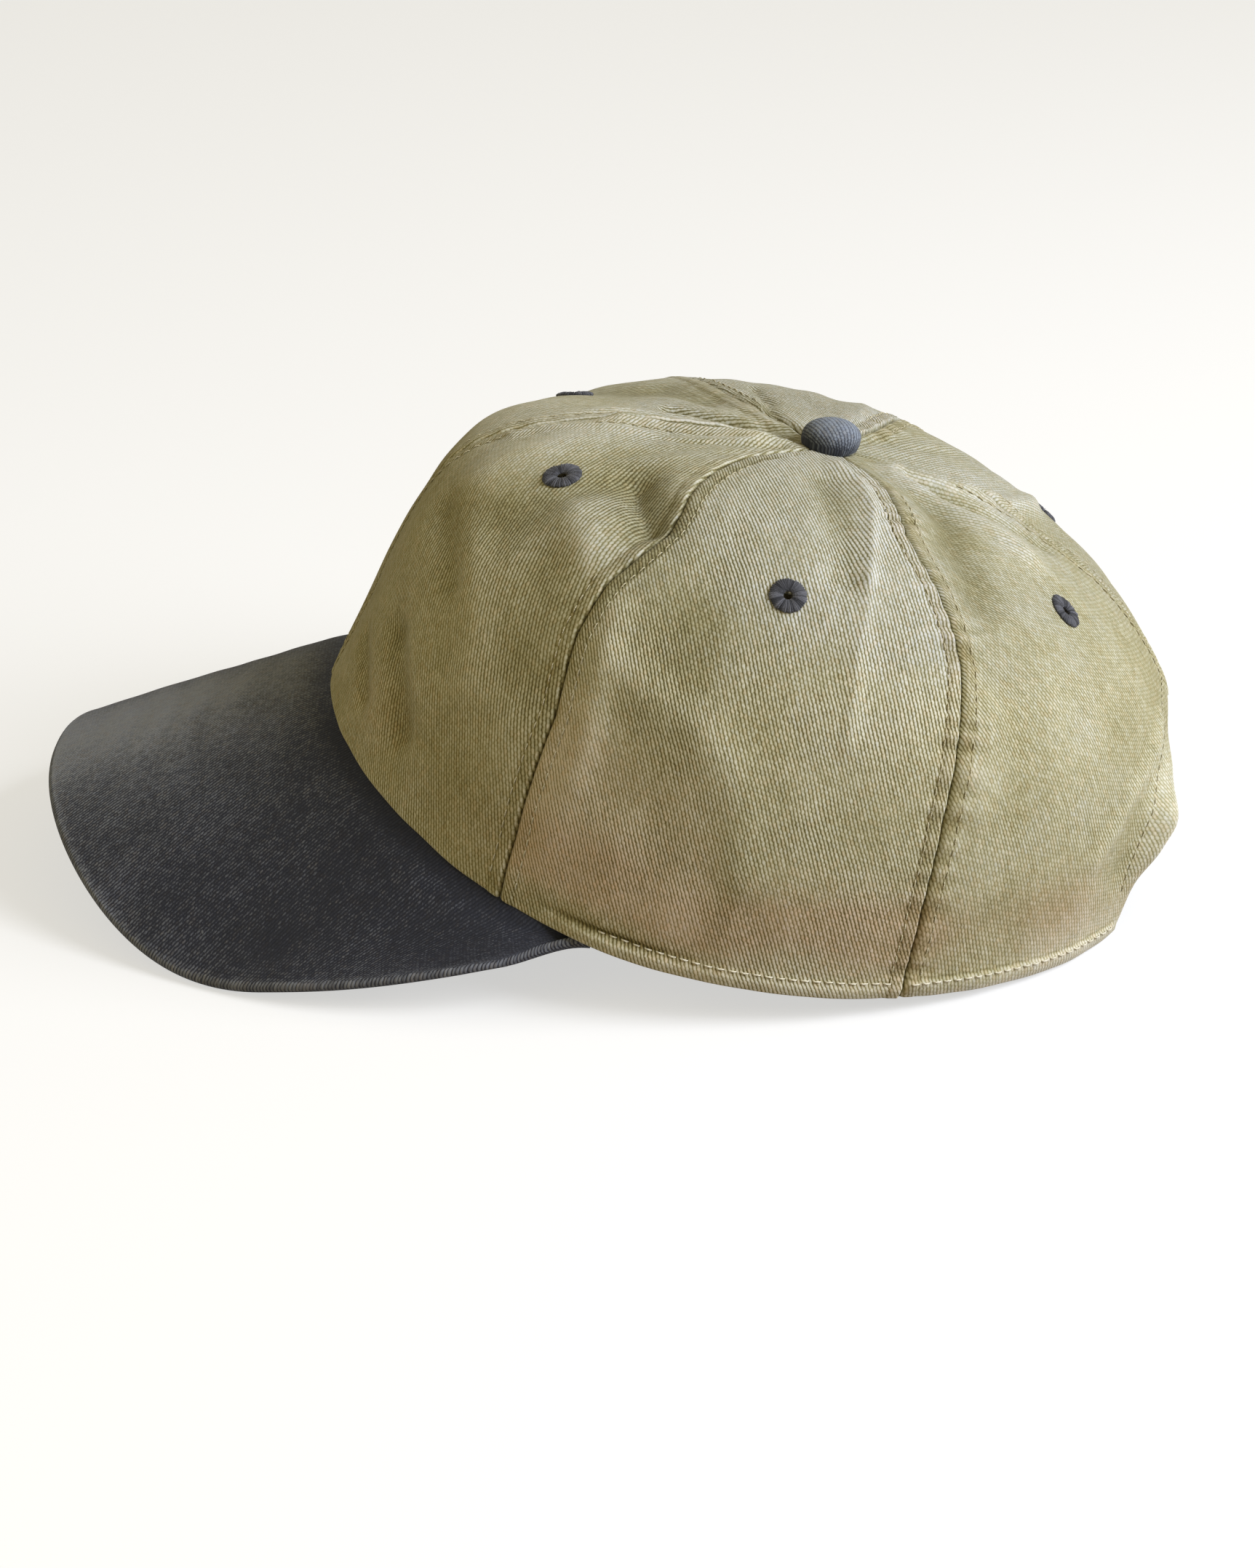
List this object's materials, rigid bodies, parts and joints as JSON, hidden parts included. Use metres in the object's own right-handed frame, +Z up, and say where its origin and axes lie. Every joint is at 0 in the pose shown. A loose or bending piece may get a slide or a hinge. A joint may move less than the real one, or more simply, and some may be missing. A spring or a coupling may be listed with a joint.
{
  "type": "baseball cap",
  "caption": "Soft panelled baseball cap with a curved visor, covered top button, sewn eyelets, and a rear opening closed by a cloth strap in a metal flip clasp.",
  "frame": {"origin": "middle of the bounding box on the surface that the cap rests on", "axes": "+Z up, the visor towards -Y, the wearer's left towards +X"},
  "size_m": [0.1694, 0.2564, 0.1067],
  "materials": {
    "crown_twill": "washed khaki cotton twill",
    "visor_twill": "faded charcoal cotton twill",
    "eyelet_thread": "charcoal embroidery thread",
    "seam_tape": "woven cotton tape",
    "sweatband_cloth": "khaki cotton twill",
    "label_cloth": "plain woven label",
    "board_plastic": "natural polyethylene",
    "steel": "satin",
    "clasp_brass": "antique satin"
  },
  "bodies": {
    "cap": {"front_panel_left": "crown_twill", "front_panel_right": "crown_twill", "side_panel_left": "crown_twill", "side_panel_right": "crown_twill", "rear_panel_left": "crown_twill", "rear_panel_right": "crown_twill", "eyelet_front_left": "eyelet_thread", "eyelet_front_right": "eyelet_thread", "eyelet_side_left": "eyelet_thread", "eyelet_side_right": "eyelet_thread", "eyelet_rear_left": "eyelet_thread", "eyelet_rear_right": "eyelet_thread", "tape_front": "seam_tape", "tape_front_left": "seam_tape", "tape_front_right": "seam_tape", "tape_rear_left": "seam_tape", "tape_rear_right": "seam_tape", "tape_rear": "seam_tape", "sweatband": "sweatband_cloth", "care_label": "label_cloth", "arch_binding_left": "seam_tape", "arch_binding_right": "seam_tape", "visor_top_cover": "visor_twill", "visor_board": "board_plastic", "visor_under_cover": "visor_twill", "button_cover": "visor_twill", "button_shell": "steel", "button_rivet": "steel", "button_washer": "steel", "clasp_tab": "visor_twill", "clasp_frame": "clasp_brass", "clasp_pin": "steel"},
    "closure_strap": {"strap": "visor_twill"},
    "lever": {"clasp_lever": "clasp_brass"}
  },
  "joints": [
    {"name": "strap_adjust", "type": "hinge", "parent": "cap", "child": "closure_strap", "pos_m": [0, 0.05304, 0.02599], "axis": [0, 0.1994, 0.9799], "range_deg": [-8, 16]},
    {"name": "clasp_flip", "type": "hinge", "parent": "cap", "child": "lever", "pos_m": [-0.01107, 0.12563, 0.01122], "axis": [0, -0.1994, -0.9799], "range_deg": [0, 110]}
  ]
}
